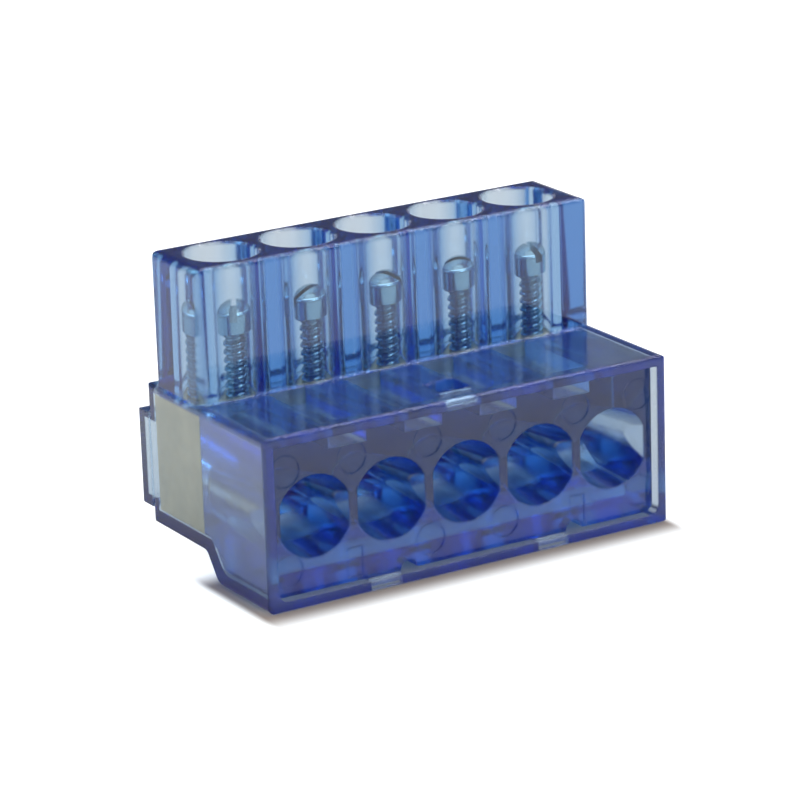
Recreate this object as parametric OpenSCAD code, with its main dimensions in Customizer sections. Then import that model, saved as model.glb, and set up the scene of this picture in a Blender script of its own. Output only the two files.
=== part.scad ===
// Equipotential terminal block: a row of clamp screws in guide tubes above one shared contact bar.
// Millimetres. +X runs along the row of poles, the wire entries face -Y and the screws stand along +Z.
// Depths are measured from the front face until everything is centred by place().

/* [Poles] */
// Distance between neighbouring poles
pole_pitch = 8; // [7.8:0.1:10]
// Distance from an outer pole to the end face of the housing
end_margin = 5.5; // [5.3:0.1:8]
// Distance from the front face back to the screw axes
screw_setback = 16.4; // [15.5:0.1:20]
// Height of the wire entry axes above the base
entry_height = 8.1; // [7.6:0.1:8.6]

/* [Housing body] */
// Distance from the screw axes back to the rear face
rear_reach = 5.9; // [5.2:0.1:8]
// Height of the lower body, up to the shelf
body_height = 16.5; // [15.5:0.1:20]
// Wall thickness of the lower body
wall = 1; // [0.8:0.05:1.4]
// Radius of the body edges that run from front to back
side_edge_radius = 0.7; // [0.4:0.1:1.4]
// Radius of the rear top edge and the rear upright edges
rear_edge_radius = 1; // [0.3:0.1:1.6]
// Radius round the rim of the front face
front_edge_radius = 0.4; // [0.1:0.05:0.8]
// Radius in the lower corners of the front opening
mouth_radius = 1; // [0.3:0.1:2]

/* [Stepped underside] */
// Height of the rear underside above the base
step_rise = 3; // [2:0.1:3.2]
// Depth of the foot, to where the slope would meet the base
foot_depth = 9.2; // [7:0.1:9.8]
// Slope of the step
step_angle = 52; // [45:1:70]
// Radius where the foot turns up into the slope
foot_radius = 2.5; // [0.5:0.1:3]
// Radius where the slope meets the rear underside
step_radius = 1; // [0.3:0.1:1.6]

/* [Rear rail] */
// How far the rail stands out behind the rear face
rail_reach = 1.8; // [1.2:0.1:3]
// Height of the lower side of the rail
rail_bottom = 4.3; // [4.1:0.1:6]
// Height of the rail from side to side
rail_height = 9.2; // [6:0.1:10.5]
// Wall thickness of the hollow rail
rail_wall = 0.8; // [0.6:0.05:1.2]
// Radius of the outer rail edges
rail_radius = 0.5; // [0.1:0.05:0.9]

/* [Screw tubes] */
// Height of the tube block above the shelf
tube_height = 12.7; // [11:0.1:20]
// Depth of the tube block at its foot, from front to rear
tube_depth = 9.1; // [8.8:0.1:10]
// How far the foot of the tube block lies inside the body ends
tube_inset = 0.3; // [0.05:0.05:1]
// How far each side of the tube block leans in from foot to top
tube_draft = 0.2; // [0:0.05:0.3]
// Diameter of the driver bores
driver_bore = 6.7; // [6:0.1:7]
// Chamfer at the mouth of a driver bore
bore_chamfer = 0.2; // [0.1:0.05:0.4]
// Radius of the upright edges of the tube block
tube_corner = 1.2; // [0.6:0.1:2]
// Radius of the front and rear top edges of the tube block
tube_top_radius = 0.55; // [0.1:0.05:0.6]
// Radius of the top edges at the ends of the tube block
tube_end_radius = 0.9; // [0.3:0.1:1.6]
// Radius of the fillet along the foot of the tube block
tube_foot_radius = 0.3; // [0.1:0.05:0.4]

/* [Front cover] */
// How far the cover lies behind the front face
cover_recess = 1; // [0.5:0.1:1.5]
// Thickness of the cover plate
cover_thickness = 1.2; // [0.8:0.1:1.6]
// Gap between the cover and the opening
cover_gap = 0.08; // [0.05:0.01:0.15]
// Diameter of a wire entry, seen at its top and bottom
entry_bore = 7.8; // [7:0.1:8.2]
// Width between the flat sides of a wire entry
entry_width = 7.1; // [6.4:0.1:7.3]
// Thickness of the entry block above the wire entries
block_wall = 1.8; // [0.6:0.1:2.4]
// Width of the rib that stays on the block above each wire entry
rib_width = 4; // [3.4:0.1:5]
// Gap from the entry block to the contact bar and to the raised floor
block_gap = 0.15; // [0.1:0.05:0.3]
// How much wider a wire entry ends than the wire bore
entry_lead = 0.3; // [0.2:0.1:0.6]

/* [Cover fixings] */
// Distance of each bottom lug from the middle
lug_offset = 9; // [8:0.1:10]
// Width of the lugs and of the snap nose
catch_width = 3; // [2:0.1:3.4]
// Clearance of a lug or nose in its window
catch_clearance = 0.15; // [0.1:0.05:0.3]
// Depth of a bottom window, front to rear
lug_window = 1.7; // [1.2:0.1:2.4]
// Distance from the rear of the cover plate to the front of the top window
hook_setback = 0.3; // [0.2:0.1:1]
// Depth of the top window, front to rear
hook_window = 3.2; // [2.6:0.1:4]
// How far the lugs reach into the wall
catch_reach = 0.7; // [0.4:0.1:0.75]
// How far the snap nose reaches into the wall
nose_reach = 0.45; // [0.3:0.05:0.7]
// Depth of the snap nose, front to rear
nose_depth = 1.5; // [1:0.1:2]
// Diameter of the half-round pry notch beside each lug
pry_diameter = 1.8; // [1.2:0.1:2]
// Distance of a pry notch from the middle of its lug
pry_offset = 2.6; // [2.5:0.1:3.2]

/* [Cover details] */
// Diameter of the round ejector marks
mark_diameter = 3; // [2:0.1:3]
// Depth of the ejector marks and the sunk pads
mark_depth = 0.12; // [0.05:0.01:0.2]
// Distance of the marks above and below the entry axes
mark_offset = 4.7; // [4.5:0.1:5]
// Distance of the end marks from the outer poles
mark_end_offset = 2.9; // [2.7:0.1:3]
// Width of the sunk pads between the outer entries
pad_width = 1.6; // [1:0.1:2]
// Height of the sunk pads
pad_height = 2.8; // [2:0.1:3]
// Height of the lower end of the pads above the floor of the opening
pad_lift = 0.5; // [0.3:0.1:0.8]

/* [Contact bar] */
// Gap between the bar and the housing walls
bar_gap = 0.1; // [0.05:0.01:0.2]
// Distance from the screw axes to the front face of the bar
bar_front_margin = 3.7; // [3:0.1:4]
// Diameter of the wire bores
wire_bore = 5; // [4:0.1:5.4]
// Radial running clearance of the screws in the tapped holes
thread_clearance = 0.05; // [0.02:0.01:0.1]

/* [Clamp screws] */
// Outer diameter of the thread
thread_diameter = 4; // [3:0.1:5]
// Length from the tip to the underside of the head
screw_length = 10; // [9.5:0.1:14]
// Diameter of the head
head_diameter = 5.4; // [4.6:0.1:5.8]
// Height of the cylindrical part of the head
head_height = 2.1; // [1.6:0.1:3]
// Height of the dome on the head
dome_height = 0.4; // [0.2:0.05:0.6]
// Width of the driver slot
driver_slot = 0.9; // [0.6:0.1:1.2]
// Depth of the driver slot below the dome
slot_depth = 1.2; // [0.8:0.1:1.6]
// Chamfer at the tip
tip_chamfer = 0.6; // [0.3:0.1:0.9]
// Height of the raised tip above the wire bore
tip_lift = 1.4; // [1:0.1:2]

/* [Hidden] */
$fn = 64;
// Overshoot of cutting shapes
over = 1;
poles = 5;
// Turn of the driver slot on each screw
slot_turns = [70, 20, 130, 160, 95];

pole_x = [for (i = [0 : poles - 1]) (i - (poles - 1) / 2) * pole_pitch];
gap_x = [for (i = [0 : poles - 2]) (pole_x[i] + pole_x[i + 1]) / 2];
body_length = (poles - 1) * pole_pitch + 2 * end_margin;
body_depth = screw_setback + rear_reach;
total_depth = body_depth + rail_reach;
total_height = body_height + tube_height;
inner_length = body_length - 2 * wall;
ceiling = body_height - wall;
slope_run = step_rise / tan(step_angle);
// How far a wall's inside corner lies in front of the outside one on the slope
slope_shift = wall * tan(step_angle / 2);
tube_length = body_length - 2 * tube_inset;
// The tube block reaches down into the shelf, above the ceiling
tube_root = body_height - wall / 2;
cover_front = cover_recess;
cover_rear = cover_recess + cover_thickness;
bar_front = screw_setback - bar_front_margin;
bar_rear = body_depth - wall - bar_gap;
bar_bottom = step_rise + wall + bar_gap;
bar_top = ceiling - bar_gap;
bar_length = inner_length - 2 * bar_gap;
block_end = bar_front - block_gap;
block_low = wall + cover_gap;
block_high = entry_height + entry_bore / 2 + block_wall;
block_top = ceiling - cover_gap;
block_half = inner_length / 2 - cover_gap;
// Underside of the block above the raised floor
block_rear_low = step_rise + wall + block_gap;
inner_foot_radius = max(foot_radius - wall, 0);
hollow_width = pole_pitch - rib_width;
hook_front = cover_rear + hook_setback;
window_width = catch_width + 2 * catch_clearance;
tip_height = entry_height + wire_bore / 2 + tip_lift;

plastic = [0.16, 0.24, 0.66, 0.45];
brass = [0.80, 0.66, 0.34];
zinc = [0.76, 0.78, 0.80];

function unit(v) = v / norm(v);

// How far a side of the tube block has leaned in at height z
function tube_lean(z) = tube_draft * (z - tube_root) / (total_height - tube_root);

// Depth at which the block, at height z, stays clear of the sloped floor
function slope_depth(z) =
    foot_depth - slope_shift + (z - wall) / tan(step_angle) - block_gap / sin(step_angle);

// Fillet of corner p between its neighbours a and b: start, end, centre, radius and whether p turns left
function fillet(a, p, b, r) =
    let (
        u = unit(a - p),
        v = unit(b - p),
        half = acos(u * v) / 2,
        reach = r / tan(half)
    )
    [p + u * reach, p + v * reach, p + unit(u + v) * r / sin(half), r, cross(v, u) > 0];

// Outline with true arcs, from corners listed anticlockwise as [x, y, radius]
module outline(corners) {
    n = len(corners);
    at = [for (c = corners) [c.x, c.y]];
    fillets = [for (i = [0 : n - 1]) fillet(at[(i + n - 1) % n], at[i], at[(i + 1) % n], corners[i].z)];
    difference() {
        union() {
            polygon([for (f = fillets) each f[3] > 0 ? [f[0], f[1]] : [f[0]]]);
            for (f = fillets) if (f[3] > 0 && f[4]) translate(f[2]) circle(f[3]);
        }
        for (f = fillets) if (f[3] > 0 && !f[4]) translate(f[2]) circle(f[3]);
    }
}

// Moves depths from the front face to the middle of the block
module place() {
    translate([0, -total_depth / 2, 0]) children();
}

// Extrudes a depth-height outline over a length centred on the middle
module along_x(length) {
    translate([-length / 2, 0, 0]) rotate([90, 0, 90]) linear_extrude(length) children();
}

// Extrudes a length-height outline from one depth to another
module along_y(from, to) {
    translate([0, to, 0]) rotate([90, 0, 0]) linear_extrude(to - from) children();
}

// Upright prism between two heights
module along_z(from, to) {
    translate([0, 0, from]) linear_extrude(to - from) children();
}

// Round bar along the depth, from one depth to another
module round_y(from, to, d1, d2) {
    translate([0, from, 0]) rotate([-90, 0, 0]) cylinder(h = to - from, d1 = d1, d2 = d2);
}

module body_side() {
    outline([[0, 0, front_edge_radius], [foot_depth, 0, foot_radius],
        [foot_depth + slope_run, step_rise, step_radius], [body_depth, step_rise, rear_edge_radius],
        [body_depth, body_height, rear_edge_radius], [0, body_height, front_edge_radius]]);
}

module body_front() {
    half = body_length / 2;
    outline([[-half, 0, side_edge_radius], [half, 0, side_edge_radius],
        [half, body_height, side_edge_radius], [-half, body_height, side_edge_radius]]);
}

module body_plan(rear, rear_radius) {
    half = body_length / 2;
    outline([[-half, 0, front_edge_radius], [half, 0, front_edge_radius],
        [half, rear, rear_radius], [-half, rear, rear_radius]]);
}

module body_shell() {
    intersection() {
        along_x(body_length) body_side();
        along_y(0, body_depth) body_front();
        along_z(0, body_height) body_plan(body_depth, rear_edge_radius);
    }
}

module rail() {
    top = rail_bottom + rail_height;
    root = body_depth - wall / 2;
    intersection() {
        along_x(body_length) outline([[root, rail_bottom, 0], [total_depth, rail_bottom, rail_radius],
            [total_depth, top, rail_radius], [root, top, 0]]);
        along_z(rail_bottom, top) body_plan(total_depth, rail_radius);
    }
}

module tube_block() {
    half = tube_length / 2;
    front = screw_setback - tube_depth / 2;
    rear = screw_setback + tube_depth / 2;
    intersection() {
        along_z(tube_root, total_height) outline([[-half, front, tube_corner], [half, front, tube_corner],
            [half, rear, tube_corner], [-half, rear, tube_corner]]);
        along_x(tube_length) outline([[front, tube_root, 0], [rear, tube_root, 0],
            [rear - tube_draft, total_height, tube_top_radius],
            [front + tube_draft, total_height, tube_top_radius]]);
        along_y(front, rear) outline([[-half, tube_root, 0], [half, tube_root, 0],
            [half - tube_draft, total_height, tube_end_radius],
            [tube_draft - half, total_height, tube_end_radius]]);
    }
}

// Fillet where the front or the rear of the tube block meets the shelf
module tube_foot(side) {
    root = wall / 2;
    face = tube_depth / 2 - tube_lean(body_height + tube_foot_radius);
    translate([0, screw_setback + side * face, body_height])
        along_x(tube_length - 2 * tube_corner) difference() {
            translate([side > 0 ? -root : -tube_foot_radius, -root]) square(tube_foot_radius + root);
            translate([side * tube_foot_radius, tube_foot_radius]) circle(tube_foot_radius);
        }
}

// Outline of the opening at the front, with sharp upper corners
module mouth(gap) {
    half = inner_length / 2 - gap;
    low = wall + gap;
    high = ceiling - gap;
    radius = mouth_radius - gap;
    outline([[-half, low, radius], [half, low, radius], [half, high, 0], [-half, high, 0]]);
}

// Hollow of the body and the rail, open at the front
module cavity() {
    rear = body_depth - wall;
    rail_floor = rail_bottom + rail_wall;
    rail_roof = rail_bottom + rail_height - rail_wall;
    rail_back = total_depth - rail_wall;
    intersection() {
        along_x(inner_length) outline([[-over, wall, 0],
            [foot_depth - slope_shift, wall, inner_foot_radius],
            [foot_depth + slope_run - slope_shift, step_rise + wall, step_radius],
            [rear, step_rise + wall, 0], [rear, rail_floor, 0], [rail_back, rail_floor, 0],
            [rail_back, rail_roof, 0], [rear, rail_roof, 0], [rear, ceiling, 0], [-over, ceiling, 0]]);
        along_y(-over, total_depth) mouth(0);
    }
}

// Window through a wall for one lug or hook
module window(x, front, depth, low, high) {
    translate([x - window_width / 2, front, low]) cube([window_width, depth, high - low]);
}

module driver_bores() {
    for (x = pole_x) translate([x, screw_setback, 0]) {
        translate([0, 0, ceiling - over]) cylinder(h = total_height - ceiling + 2 * over, d = driver_bore);
        translate([0, 0, total_height - bore_chamfer])
            cylinder(h = 2 * bore_chamfer, d1 = driver_bore, d2 = driver_bore + 4 * bore_chamfer);
    }
}

module housing() {
    color(plastic) place() difference() {
        union() {
            body_shell();
            rail();
            tube_block();
            for (side = [-1, 1]) tube_foot(side);
        }
        cavity();
        driver_bores();
        window(0, hook_front, hook_window, ceiling - over, body_height + over);
        for (side = [-1, 1]) window(side * lug_offset, cover_front, lug_window, -over, wall + over);
    }
}

// Space inside one wire entry: a cone with flat sides
module entry_space() {
    end_bore = wire_bore + entry_lead;
    slope = (entry_bore - end_bore) / (block_end - cover_front);
    intersection() {
        round_y(cover_front - over, block_end + over, entry_bore + slope * over, end_bore - slope * over);
        translate([-entry_width / 2, 0, -entry_bore]) cube([entry_width, bar_front + over, 2 * entry_bore]);
    }
}

module lug(side) {
    translate([side * lug_offset - catch_width / 2, cover_front + catch_clearance, wall - catch_reach])
        cube([catch_width, cover_thickness - catch_clearance, catch_reach + cover_thickness]);
}

// Snap nose that rises from the middle rib into the top window
module hook() {
    nose_front = hook_front + catch_clearance;
    nose_rear = nose_front + nose_depth;
    nose_root = block_top - cover_thickness;
    nose_top = ceiling + nose_reach;
    along_x(catch_width) polygon([[nose_front, nose_root], [nose_rear, nose_root], [nose_rear, block_top],
        [nose_front + nose_reach, nose_top], [nose_front, nose_top]]);
}

// Solid plug that the wire entries run through. It follows the floor of the housing up the slope, and its
// top has a hollow between each two entries.
module entry_block() {
    root = cover_rear - cover_thickness / 2;
    difference() {
        intersection() {
            along_x(2 * block_half) outline([[root, block_low, 0],
                [slope_depth(block_low), block_low, inner_foot_radius],
                [slope_depth(block_rear_low), block_rear_low, 0], [block_end, block_rear_low, 0],
                [block_end, block_top, 0], [root, block_top, 0]]);
            along_y(root, block_end) mouth(cover_gap);
        }
        for (x = gap_x) translate([x - hollow_width / 2, cover_rear, block_high])
            cube([hollow_width, block_end - cover_rear + over, block_top - block_high + over]);
    }
}

module mark(x, z) {
    translate([x, 0, z]) round_y(cover_front - over, cover_front + mark_depth, mark_diameter, mark_diameter);
}

module cover_marks() {
    mark_x = concat([pole_x[0] - mark_end_offset], gap_x, [pole_x[poles - 1] + mark_end_offset]);
    for (x = mark_x) mark(x, entry_height + mark_offset);
    for (i = [0, 2, 3, 5]) mark(mark_x[i], entry_height - mark_offset);
}

module cover_pads() {
    for (x = [gap_x[0], gap_x[poles - 2]]) translate([x - pad_width / 2, cover_front - over, wall + pad_lift])
        cube([pad_width, over + mark_depth, pad_height]);
}

// Half-round notches in the lower edge of the plate, one to the right of each lug
module pry_notches() {
    for (side = [-1, 1]) translate([side * lug_offset + pry_offset, 0, wall])
        round_y(cover_front - over, cover_rear + over, pry_diameter, pry_diameter);
}

module front_cover() {
    color(plastic) place() difference() {
        union() {
            along_y(cover_front, cover_rear) mouth(cover_gap);
            entry_block();
            for (side = [-1, 1]) lug(side);
            hook();
        }
        for (x = pole_x) translate([x, 0, entry_height]) entry_space();
        cover_marks();
        cover_pads();
        pry_notches();
    }
}

module contact_bar() {
    color(brass) place() difference() {
        translate([-bar_length / 2, bar_front, bar_bottom])
            cube([bar_length, bar_rear - bar_front, bar_top - bar_bottom]);
        for (x = pole_x) {
            translate([x, 0, entry_height]) round_y(bar_front - over, bar_rear + over, wire_bore, wire_bore);
            translate([x, screw_setback, entry_height])
                cylinder(h = bar_top - entry_height + over, d = thread_diameter + 2 * thread_clearance);
        }
    }
}

// Raised slotted screw, with the thread as a plain shank
module clamp_screw(i) {
    shank = thread_diameter / 2;
    head = head_diameter / 2;
    top = screw_length + head_height + dome_height;
    dome_radius = (head * head + dome_height * dome_height) / (2 * dome_height);
    color(zinc) place() translate([pole_x[i], screw_setback, tip_height]) difference() {
        union() {
            cylinder(h = tip_chamfer, r1 = shank - tip_chamfer, r2 = shank);
            translate([0, 0, tip_chamfer]) cylinder(h = screw_length, r = shank);
            intersection() {
                translate([0, 0, screw_length]) cylinder(h = head_height + dome_height, r = head);
                translate([0, 0, top - dome_radius]) sphere(dome_radius);
            }
        }
        translate([0, 0, top - slot_depth]) rotate([0, 0, slot_turns[i]])
            translate([-head_diameter, -driver_slot / 2, 0])
                cube([2 * head_diameter, driver_slot, slot_depth + over]);
    }
}

housing();
front_cover();
contact_bar();
for (i = [0 : poles - 1]) clamp_screw(i);
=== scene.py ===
import math

import bmesh
import bpy
from mathutils import Matrix, Vector


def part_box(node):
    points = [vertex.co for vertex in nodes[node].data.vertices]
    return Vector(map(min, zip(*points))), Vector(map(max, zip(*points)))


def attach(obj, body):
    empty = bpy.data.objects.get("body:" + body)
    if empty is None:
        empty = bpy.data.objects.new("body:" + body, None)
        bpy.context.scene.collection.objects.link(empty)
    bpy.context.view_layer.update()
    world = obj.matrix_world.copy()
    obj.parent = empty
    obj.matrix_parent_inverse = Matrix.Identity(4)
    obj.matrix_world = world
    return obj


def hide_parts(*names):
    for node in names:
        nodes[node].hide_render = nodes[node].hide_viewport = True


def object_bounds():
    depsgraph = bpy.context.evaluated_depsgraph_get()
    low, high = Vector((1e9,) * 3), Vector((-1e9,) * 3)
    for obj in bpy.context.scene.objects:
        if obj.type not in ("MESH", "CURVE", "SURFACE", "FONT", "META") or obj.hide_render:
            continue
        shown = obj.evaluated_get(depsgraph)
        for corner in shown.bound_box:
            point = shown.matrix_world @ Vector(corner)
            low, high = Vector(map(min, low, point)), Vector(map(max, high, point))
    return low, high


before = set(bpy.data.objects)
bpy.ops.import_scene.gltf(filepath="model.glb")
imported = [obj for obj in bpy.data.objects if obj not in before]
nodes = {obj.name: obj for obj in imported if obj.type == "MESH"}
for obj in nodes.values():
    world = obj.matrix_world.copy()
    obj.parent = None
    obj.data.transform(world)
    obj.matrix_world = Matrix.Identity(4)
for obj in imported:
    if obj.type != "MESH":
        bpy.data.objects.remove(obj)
cad_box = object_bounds()
scene = bpy.context.scene

MM = 0.001
WHITE = (1, 1, 1, 1)

# Camera, fitted to the photograph's 800 x 800 frame
CAMERA_AZIMUTH = -30.66
CAMERA_ELEVATION = 17.58
CAMERA_ROLL = math.radians(-1.92)
CAMERA_DISTANCE = 364.17 * MM
CAMERA_TARGET = Vector((0, -2.05, 12)) * MM
CAMERA_PAN = Vector((-1.24, 1.56)) * MM
FOCAL_PIXELS = 3926.1
FRAME_PIXELS = 800
SENSOR_WIDTH = 36
CLIP_START = 10 * MM
CLIP_END = 20

# Point that the softboxes face
LIGHT_TARGET = Vector((0, 0, 12 * MM))

# Studio around the object: between two elevations in degrees, the light goes from one level to another
WALLS_MIRRORED = (7, 14, 1, 0.12)
CEILING_MIRRORED = (32, 45, 0, 1)
SKY_THROUGH = (14, 35, 0.5, 1)
SKY_MATT = 0.4

# Floor, in metres: half its side and its depth below the foot
FLOOR_HALF = 3
FLOOR_DROP = 0.02 * MM

# Contact shadow on the floor, partly the lamps' real shadow and partly painted shadow, in millimetres:
# depth of its core, shift to the left and width of its soft border. The border is narrower at the sides by
# the factor SIDE_FADE.
CONTACT_DEPTH = 9.8
CONTACT_SHIFT = 0.4
SHADOW_WIDTH = 4.5
SIDE_FADE = 3.4
# Painted shadow colour of the floor in the core of the contact shadow, and the floor's own colour outside
# it
PAINTED_CONTACT_SHADOW = (0.47, 0.39, 0.345, 1)
FLOOR_TONE = (0.61, 0.60, 0.59, 1)

# Glow of the floor: mirrored, it goes from one level to another between two places in millimetres. It stays
# low near the block and rises to its left and in front of it: painted shade that the walls mirror. Through
# the plastic, it goes from one level in the contact shadow to another on the open floor, which is painted
# shadow under the object.
GLOW_COLOUR = (0.94, 0.98, 1, 1)
GLOW_BESIDE = (-24, -38, 0.1, 0.6)
GLOW_BEFORE = (-12, -16, 0, 0.75)
GLOW_THROUGH = (0.04, 0.33)

# Blue plastic: refraction, share that isn't milky, what a millimetre takes out of red, green and blue,
# what a shadow ray keeps at each face, and the radius of the soft edges in millimetres
PLASTIC_IOR = 1.58
CLEARNESS = 0.985
ABSORPTION_PER_MM = (0.25, 0.13, 0.034)
SHADOW_TINT = (0.97, 0.97, 0.97, 1)
EDGE_RADIUS = 0.35
PLASTIC_BAND = (0.35, 0.7)
PLASTIC_ROUGHNESS = (0.08, 0.18)

# The tubes are smoother: between two heights in millimetres, the roughness drops by a factor
TUBE_POLISH = (14, 17, 1, 0.55)

# Metals: the band of a noise that is spread over tarnish, a factor on the colour, and over roughness
METAL_BAND = (0.3, 0.7)
BRASS_COLOUR = (0.88, 0.69, 0.41)
BRASS_TARNISH = (0.84, 1.04)
BRASS_ROUGHNESS = (0.3, 0.5)
ZINC_COLOUR = (0.31, 0.50, 0.62)
ZINC_ROUGHNESS = (0.13, 0.19)

# Painted shade in the grooves of the thread: how near a wall shades, in millimetres, the band of openness
# that counts, and the factor on the colour that it is spread over
GROOVE_REACH = 0.5
GROOVE_BAND = (0.4, 0.95)
GROOVE_PAINTED_SHADE = (0.85, 1)

# Screws, in millimetres
THREAD_PITCH = 0.8
THREAD_DEPTH = 0.43
THREAD_RADIUS = 2.0
RUN_OUT = 0.6
TIP_CHAMFER = 0.6
HEAD_HEIGHT = 2.1
HEAD_CHAMFER = 0.15
HEAD_EDGE = 0.35
DOME_HEIGHT = 0.4
SLOT_WIDTH = 0.9
SLOT_DEPTH = 1.2

# Ridge of the thread, in parts of the pitch: half its foot and one flank
RIDGE_HALF = 0.38
FLANK = 0.3

# Turn of each screw's slot, and the angle between faces that stays sharp, in degrees
SLOT_TURNS = (70, 20, 130, 160, 95)
SHARP_ANGLE = 38

# Fineness of the screws' meshes
TURN_STEPS = 48
ROWS_PER_PITCH = 8
EDGE_STEPS = 4
DOME_STEPS = 6

# The thin clear walls need many bounces
LIGHT_BOUNCES = 48
TRANSPARENT_BOUNCES = 32


def link(obj):
    scene.collection.objects.link(obj)
    return obj


def direction(azimuth, elevation):
    """Unit vector from the object, by degrees to the right of its front and above the floor."""
    az, el = math.radians(azimuth), math.radians(elevation)
    return Vector((math.sin(az) * math.cos(el), -math.cos(az) * math.cos(el), math.sin(el)))


def make_camera():
    azimuth = math.radians(CAMERA_AZIMUTH)
    back = direction(CAMERA_AZIMUTH, CAMERA_ELEVATION)
    right = Vector((math.cos(azimuth), math.sin(azimuth), 0))
    up = back.cross(right)
    target = CAMERA_TARGET + right * CAMERA_PAN.x + up * CAMERA_PAN.y
    image_x = right * math.cos(CAMERA_ROLL) + up * math.sin(CAMERA_ROLL)
    image_y = up * math.cos(CAMERA_ROLL) - right * math.sin(CAMERA_ROLL)
    data = bpy.data.cameras.new("camera")
    data.sensor_width = SENSOR_WIDTH
    data.lens = SENSOR_WIDTH * FOCAL_PIXELS / FRAME_PIXELS
    data.clip_start = CLIP_START
    data.clip_end = CLIP_END
    camera = link(bpy.data.objects.new("camera", data))
    axes = Matrix((image_x, image_y, back)).transposed().to_4x4()
    camera.matrix_world = Matrix.Translation(target + back * CAMERA_DISTANCE) @ axes
    scene.camera = camera


class Nodes:
    """Short ways to add and join the nodes of one material or world."""

    def __init__(self, tree):
        self.tree = tree

    def add(self, kind, **values):
        node = self.tree.nodes.new("ShaderNode" + kind)
        for name, value in values.items():
            setattr(node, name, value)
        return node

    def join(self, out, socket):
        self.tree.links.new(out, socket)

    def fill(self, sockets, values):
        """Sets numbers on sockets directly and joins outputs to them."""
        for socket, value in zip(sockets, values):
            if isinstance(value, (int, float)):
                socket.default_value = value
            else:
                self.join(value, socket)

    def math(self, operation, first, second):
        node = self.add("Math", operation=operation)
        self.fill(node.inputs, (first, second))
        return node.outputs[0]

    def mix(self, factor, first, second):
        node = self.add("Mix")
        self.fill([node.inputs[name] for name in ("Factor", "A", "B")], (factor, first, second))
        return node.outputs["Result"]

    def split(self, vector):
        node = self.add("SeparateXYZ")
        self.join(vector, node.inputs[0])
        return node.outputs

    def ramp(self, value, from_min, from_max, to_min, to_max, smooth=False):
        node = self.add("MapRange")
        if smooth:
            node.interpolation_type = "SMOOTHSTEP"
        names = ("Value", "From Min", "From Max", "To Min", "To Max")
        self.fill([node.inputs[name] for name in names], (value, from_min, from_max, to_min, to_max))
        return node.outputs["Result"]

    def place_ramp(self, place, start, end, low, high):
        """Ramp between two places in millimetres."""
        return self.ramp(place, start * MM, end * MM, low, high)

    def sky_ramp(self, height, start, end, low, high):
        """Ramp between two elevations in degrees, over the height of a direction."""
        return self.ramp(height, math.sin(math.radians(start)), math.sin(math.radians(end)), low, high)

    def noise(self, scale, detail, stretch=(1, 1, 1)):
        """Noise over the object's own place, in features per metre, drawn out by stretch."""
        coords = self.add("TexCoord")
        mapping = self.add("Mapping")
        self.join(coords.outputs["Object"], mapping.inputs["Vector"])
        mapping.inputs["Scale"].default_value = stretch
        node = self.add("TexNoise")
        self.join(mapping.outputs[0], node.inputs["Vector"])
        node.inputs["Scale"].default_value = scale
        node.inputs["Detail"].default_value = detail
        return node.outputs["Fac"]

    def tint(self, shader, colour, level):
        """Base colour of a shader, times a level."""
        node = self.add("VectorMath", operation="SCALE")
        node.inputs[0].default_value = colour
        self.join(level, node.inputs["Scale"])
        self.join(node.outputs[0], shader.inputs["Base Color"])

    def bump(self, height, distance, strength, under=None):
        """Bump of a height, its distance in millimetres, on top of the normal under it."""
        node = self.add("Bump")
        node.inputs["Strength"].default_value = strength
        node.inputs["Distance"].default_value = distance * MM
        self.join(height, node.inputs["Height"])
        if under:
            self.join(under, node.inputs["Normal"])
        return node.outputs[0]


def new_material(name):
    material = bpy.data.materials.new(name)
    material.use_nodes = True
    made = material.node_tree.nodes
    return material, Nodes(material.node_tree), made["Principled BSDF"], made["Material Output"]


def clear_plastic():
    """Clear moulding that is tinted by its depth and lets the lamps through as a plain shadow."""
    material, tree, shader, out = new_material("clear_blue_plastic")
    shader.inputs["Base Color"].default_value = WHITE
    shader.inputs["IOR"].default_value = PLASTIC_IOR
    shader.inputs["Transmission Weight"].default_value = CLEARNESS
    place = tree.split(tree.add("TexCoord").outputs["Object"])
    polish = tree.place_ramp(place["Z"], *TUBE_POLISH)
    worn = tree.ramp(tree.noise(scale=900, detail=4), *PLASTIC_BAND, *PLASTIC_ROUGHNESS)
    tree.join(tree.math("MULTIPLY", worn, polish), shader.inputs["Roughness"])
    edges = tree.add("Bevel", samples=2)
    edges.inputs["Radius"].default_value = EDGE_RADIUS * MM
    flow = tree.bump(tree.noise(scale=130, detail=1), distance=0.05, strength=0.35, under=edges.outputs[0])
    upright = tree.noise(scale=500, detail=3, stretch=(1, 1, 0.15))
    scuffs = tree.bump(upright, distance=0.008, strength=0.3, under=flow)
    tree.join(scuffs, shader.inputs["Normal"])
    absorption = tree.add("VolumeAbsorption")
    strongest = max(ABSORPTION_PER_MM)
    absorption.inputs["Color"].default_value = (*(1 - a / strongest for a in ABSORPTION_PER_MM), 1)
    absorption.inputs["Density"].default_value = strongest / MM
    through = tree.add("BsdfTransparent")
    through.inputs["Color"].default_value = SHADOW_TINT
    mix = tree.add("MixShader")
    tree.join(tree.add("LightPath").outputs["Is Shadow Ray"], mix.inputs[0])
    tree.join(shader.outputs[0], mix.inputs[1])
    tree.join(through.outputs[0], mix.inputs[2])
    tree.join(mix.outputs[0], out.inputs["Surface"])
    tree.join(absorption.outputs[0], out.inputs["Volume"])
    return material


def brass_metal():
    """Brass with spots of tarnish, drawn along the bar."""
    material, tree, shader, _ = new_material("brass")
    shader.inputs["Metallic"].default_value = 1
    tarnish = tree.ramp(tree.noise(scale=220, detail=5), *METAL_BAND, *BRASS_TARNISH)
    tree.tint(shader, BRASS_COLOUR, tarnish)
    drawn = tree.noise(scale=1200, detail=3, stretch=(0.03, 1, 1))
    tree.join(tree.ramp(drawn, *METAL_BAND, *BRASS_ROUGHNESS), shader.inputs["Roughness"])
    tree.join(tree.bump(drawn, distance=0.01, strength=0.5), shader.inputs["Normal"])
    return material


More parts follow.
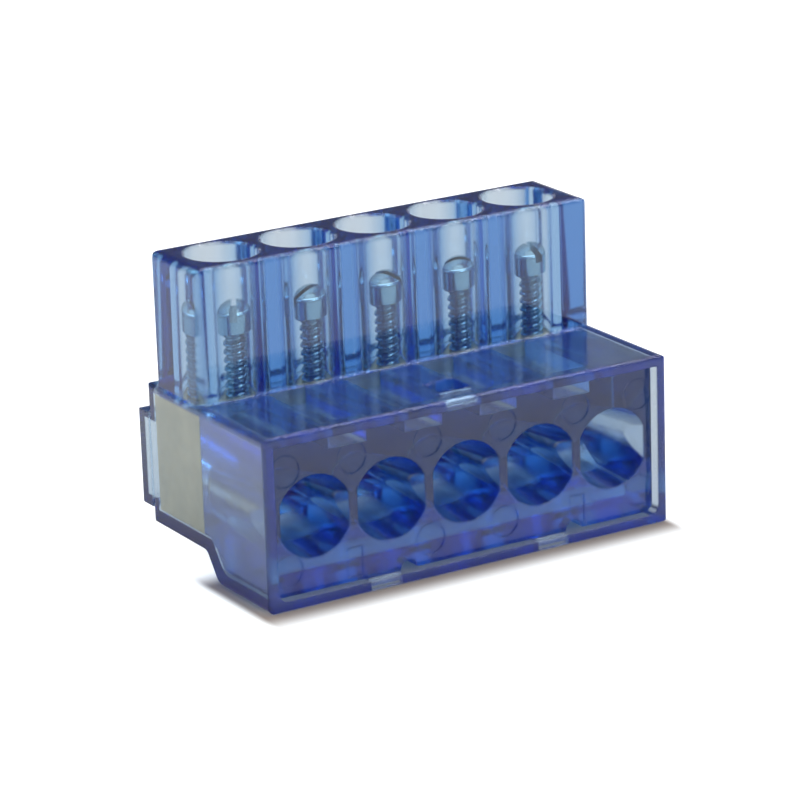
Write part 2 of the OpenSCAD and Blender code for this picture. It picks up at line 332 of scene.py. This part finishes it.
def zinc_metal():
    """Bluish zinc plating with a fine grain, and painted shade that darkens the grooves of the thread."""
    material, tree, shader, _ = new_material("zinc_steel")
    shader.inputs["Metallic"].default_value = 1
    # Painted shade: the colour is darker where the walls of the thread close in
    grooves = tree.add("AmbientOcclusion", samples=2, only_local=True)
    grooves.inputs["Distance"].default_value = GROOVE_REACH * MM
    tree.tint(shader, ZINC_COLOUR, tree.ramp(grooves.outputs["AO"], *GROOVE_BAND, *GROOVE_PAINTED_SHADE))
    grain = tree.noise(scale=1500, detail=2)
    tree.join(tree.ramp(grain, *METAL_BAND, *ZINC_ROUGHNESS), shader.inputs["Roughness"])
    tree.join(tree.bump(grain, distance=0.004, strength=0.15), shader.inputs["Normal"])
    return material


def by_ray(tree, camera, mirrored, through, matt):
    """Level by how a ray came: from the camera, off a glossy surface or through the plastic.
    A ray that met a matt surface on its way gets the level matt."""
    path = tree.add("LightPath")
    level = matt
    for kind, value in (("Glossy", mirrored), ("Transmission", through), ("Camera", camera)):
        level = tree.mix(path.outputs[f"Is {kind} Ray"], level, value)
    return tree.mix(tree.math("GREATER_THAN", path.outputs["Diffuse Depth"], 0.5), level, matt)


def distance_from_contact(tree, place):
    """Distance of a floor point from the core of the painted contact shadow. Sideways it counts SIDE_FADE
    times.
    """
    low, high = cad_box
    middle = ((low[0] + high[0]) / 2 - CONTACT_SHIFT * MM, low[1] + CONTACT_DEPTH * MM / 2, 0)
    half = ((high[0] - low[0]) / 2, CONTACT_DEPTH * MM / 2, 0)
    steps = (("SUBTRACT", middle), ("ABSOLUTE", None), ("SUBTRACT", half), ("MAXIMUM", (0, 0, 0)),
             ("MULTIPLY", (SIDE_FADE, 1, 1)))
    for operation, operand in steps:
        step = tree.add("VectorMath", operation=operation)
        tree.join(place, step.inputs[0])
        if operand:
            step.inputs[1].default_value = operand
        place = step.outputs[0]
    length = tree.add("VectorMath", operation="LENGTH")
    tree.join(place, length.inputs[0])
    return length.outputs["Value"]


def make_floor():
    """Pale floor that the camera sees as white outside the contact shadow. There its colour is painted
    darker and its glow is taken away.
    """
    mesh = bpy.data.meshes.new("floor")
    signs = ((-1, -1), (1, -1), (1, 1), (-1, 1))
    mesh.from_pydata([(x * FLOOR_HALF, y * FLOOR_HALF, 0) for x, y in signs], [], [(0, 1, 2, 3)])
    floor = link(bpy.data.objects.new("floor", mesh))
    floor.location.z = -FLOOR_DROP
    material, tree, shader, out = new_material("floor")
    shader.inputs["Specular IOR Level"].default_value = 0
    shader.inputs["Roughness"].default_value = 1
    place = tree.add("NewGeometry").outputs["Position"]
    axes = tree.split(place)
    # Painted contact shadow: 0 in its core and 1 on the open floor. It paints the floor's colour darker
    # there and takes its glow away
    outside_painted_shadow = tree.ramp(distance_from_contact(tree, place), 0, SHADOW_WIDTH * MM, 0, 1, smooth=True)
    floor_and_painted_shadow = tree.add("ValToRGB")
    for stop, colour in zip(floor_and_painted_shadow.color_ramp.elements, (PAINTED_CONTACT_SHADOW, FLOOR_TONE)):
        stop.color = colour
    tree.join(outside_painted_shadow, floor_and_painted_shadow.inputs["Fac"])
    tree.join(floor_and_painted_shadow.outputs["Color"], shader.inputs["Base Color"])
    # Painted shade in what the walls mirror: the floor's mirrored glow is low near the block and rises to
    # its left and front
    beside = tree.place_ramp(axes["X"], *GLOW_BESIDE)
    before = tree.place_ramp(axes["Y"], *GLOW_BEFORE)
    mirrored = tree.math("MAXIMUM", beside, before)
    # Painted shadow under the object: through the plastic the floor glows less in the contact shadow
    through = tree.ramp(outside_painted_shadow, 0, 1, *GLOW_THROUGH)
    glow = tree.add("Emission")
    glow.inputs["Color"].default_value = GLOW_COLOUR
    tree.join(by_ray(tree, outside_painted_shadow, mirrored, through, 0), glow.inputs["Strength"])
    both = tree.add("AddShader")
    tree.join(shader.outputs[0], both.inputs[0])
    tree.join(glow.outputs[0], both.inputs[1])
    tree.join(both.outputs[0], out.inputs["Surface"])
    mesh.materials.append(material)


def make_world():
    """Even light for matt surfaces. Mirrored rays see white walls and a white ceiling, a dark band between
    them, and rays through the plastic see a studio that grows brighter upwards."""
    world = bpy.data.worlds.new("world")
    scene.world = world
    world.use_nodes = True
    tree = Nodes(world.node_tree)
    height = tree.split(tree.add("TexCoord").outputs["Generated"])["Z"]
    walls = tree.sky_ramp(height, *WALLS_MIRRORED)
    ceiling = tree.sky_ramp(height, *CEILING_MIRRORED)
    mirrored = tree.math("MAXIMUM", walls, ceiling)
    through = tree.sky_ramp(height, *SKY_THROUGH)
    background = world.node_tree.nodes["Background"]
    background.inputs["Color"].default_value = WHITE
    tree.join(by_ray(tree, 1, mirrored, through, SKY_MATT), background.inputs["Strength"])
    world.cycles.sampling_method = "NONE"


def softbox(name, azimuth, elevation, distance, size, irradiance, glints=False):
    """Square lamp that faces the object, in metres. With glints it shows through the plastic."""
    back = direction(azimuth, elevation)
    data = bpy.data.lights.new(name, "AREA")
    data.shape = "SQUARE"
    data.size = size
    data.energy = irradiance * math.pi * distance ** 2
    lamp = link(bpy.data.objects.new(name, data))
    lamp.location = LIGHT_TARGET + back * distance
    lamp.rotation_mode = "QUATERNION"
    lamp.rotation_quaternion = back.to_track_quat("Z", "Y")
    lamp.visible_camera = False
    lamp.visible_transmission = glints


def make_lights():
    softbox("top", azimuth=150, elevation=78, distance=0.7, size=0.6, irradiance=0.75)
    softbox("left", azimuth=-85, elevation=35, distance=0.6, size=0.4, irradiance=0.2)
    softbox("front", azimuth=10, elevation=50, distance=0.6, size=0.15, irradiance=0.35, glints=True)
    softbox("right", azimuth=60, elevation=52, distance=0.6, size=0.16, irradiance=0.4, glints=True)


def share(value):
    """A value, held between 0 and 1."""
    return min(max(value, 0), 1)


def thread_radius(height, turn, length):
    """Radius at a height above the tip and a part of a turn. The thread runs out below the head."""
    phase = (height / THREAD_PITCH - turn) % 1
    crest = share((RIDGE_HALF - abs(phase - 0.5)) / FLANK)
    crest *= share((length - height) / RUN_OUT)
    radius = THREAD_RADIUS - THREAD_DEPTH * (1 - crest)
    return min(radius, THREAD_RADIUS - TIP_CHAMFER + height)


def screw_rows(length, head_radius):
    """Rings of the screw from its tip to its top. Each lists radius and height at every turn step."""
    rows = []
    steps = round(length / THREAD_PITCH * ROWS_PER_PITCH)
    for i in range(steps + 1):
        height = length * i / steps
        rows.append([(thread_radius(height, k / TURN_STEPS, length), height) for k in range(TURN_STEPS)])
    shoulder = length + HEAD_HEIGHT
    outline = [(head_radius - HEAD_CHAMFER, length), (head_radius, length + HEAD_CHAMFER)]
    for i in range(EDGE_STEPS + 1):
        angle = math.pi / 2 * i / EDGE_STEPS
        outline.append((head_radius - HEAD_EDGE * (1 - math.cos(angle)),
                        shoulder - HEAD_EDGE * (1 - math.sin(angle))))
    rim = head_radius - HEAD_EDGE
    for i in range(1, DOME_STEPS):
        out = 1 - i / DOME_STEPS
        outline.append((rim * out, shoulder + DOME_HEIGHT * (1 - out ** 2)))
    rows += [[(radius, height)] * TURN_STEPS for radius, height in outline]
    return rows


def screw_body(name, length, head_radius):
    """Closed mesh of the screw without its slot, standing on its tip at the origin."""
    mesh = bpy.data.meshes.new(name)
    points = []
    faces = []
    rows = screw_rows(length, head_radius)
    for row in rows:
        for k, (radius, height) in enumerate(row):
            angle = 2 * math.pi * k / TURN_STEPS
            points.append((radius * math.cos(angle) * MM, radius * math.sin(angle) * MM, height * MM))
    for i in range(len(rows) - 1):
        for k in range(TURN_STEPS):
            a = i * TURN_STEPS + k
            b = i * TURN_STEPS + (k + 1) % TURN_STEPS
            faces.append((a, b, b + TURN_STEPS, a + TURN_STEPS))
    faces.append(tuple(reversed(range(TURN_STEPS))))
    points.append((0, 0, (length + HEAD_HEIGHT + DOME_HEIGHT) * MM))
    last = (len(rows) - 1) * TURN_STEPS
    for k in range(TURN_STEPS):
        faces.append((last + k, last + (k + 1) % TURN_STEPS, len(points) - 1))
    mesh.from_pydata(points, [], faces)
    return mesh


def slot_cutter(length, head_radius, turn):
    """Box that cuts the slot, twice as long as the head is wide and twice as high as the slot is deep."""
    mesh = bpy.data.meshes.new("slot_cutter")
    cube = bmesh.new()
    bmesh.ops.create_cube(cube, size=1)
    height = 2 * SLOT_DEPTH
    top = length + HEAD_HEIGHT + DOME_HEIGHT
    place = Matrix.Translation((0, 0, (top - SLOT_DEPTH + height / 2) * MM)) @ Matrix.Rotation(turn, 4, "Z")
    size = Matrix.Diagonal((4 * head_radius * MM, SLOT_WIDTH * MM, height * MM, 1))
    cube.transform(place @ size)
    cube.to_mesh(mesh)
    cube.free()
    return link(bpy.data.objects.new("slot_cutter", mesh))


def make_screw(number, turn, material):
    """Threaded screw with a driver slot, in the place of its plain CAD node."""
    node = f"clamp_screw_{number}"
    low, high = (Vector(corner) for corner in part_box(node))
    length = (high.z - low.z) / MM - HEAD_HEIGHT - DOME_HEIGHT
    head_radius = (high.x - low.x) / 2 / MM
    screw = link(bpy.data.objects.new(f"threaded_screw_{number}", screw_body(node, length, head_radius)))
    cutter = slot_cutter(length, head_radius, math.radians(turn))
    cut = screw.modifiers.new("slot", "BOOLEAN")
    cut.object = cutter
    cut.operation = "DIFFERENCE"
    cut.solver = "EXACT"
    graph = bpy.context.evaluated_depsgraph_get()
    mesh = bpy.data.meshes.new_from_object(screw.evaluated_get(graph))
    screw.modifiers.clear()
    plain = screw.data
    screw.data = mesh
    bpy.data.meshes.remove(plain)
    bpy.data.objects.remove(cutter)
    mesh.transform(Matrix.Translation(((low.x + high.x) / 2, (low.y + high.y) / 2, low.z)))
    mesh.shade_smooth()
    mesh.set_sharp_from_angle(angle=math.radians(SHARP_ANGLE))
    mesh.materials.clear()
    mesh.materials.append(material)
    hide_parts(node)
    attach(screw, f"screw_{number}")


make_camera()
make_world()
make_lights()
make_floor()
blue = clear_plastic()
brass = brass_metal()
zinc = zinc_metal()
for name, material in (("housing", blue), ("front_cover", blue), ("contact_bar", brass)):
    nodes[name].data.materials.clear()
    nodes[name].data.materials.append(material)
for index, slot_turn in enumerate(SLOT_TURNS):
    make_screw(index + 1, slot_turn, zinc)

scene.view_settings.view_transform = "Standard"
scene.cycles.max_bounces = LIGHT_BOUNCES
scene.cycles.transmission_bounces = LIGHT_BOUNCES
scene.cycles.glossy_bounces = LIGHT_BOUNCES
scene.cycles.transparent_max_bounces = TRANSPARENT_BOUNCES
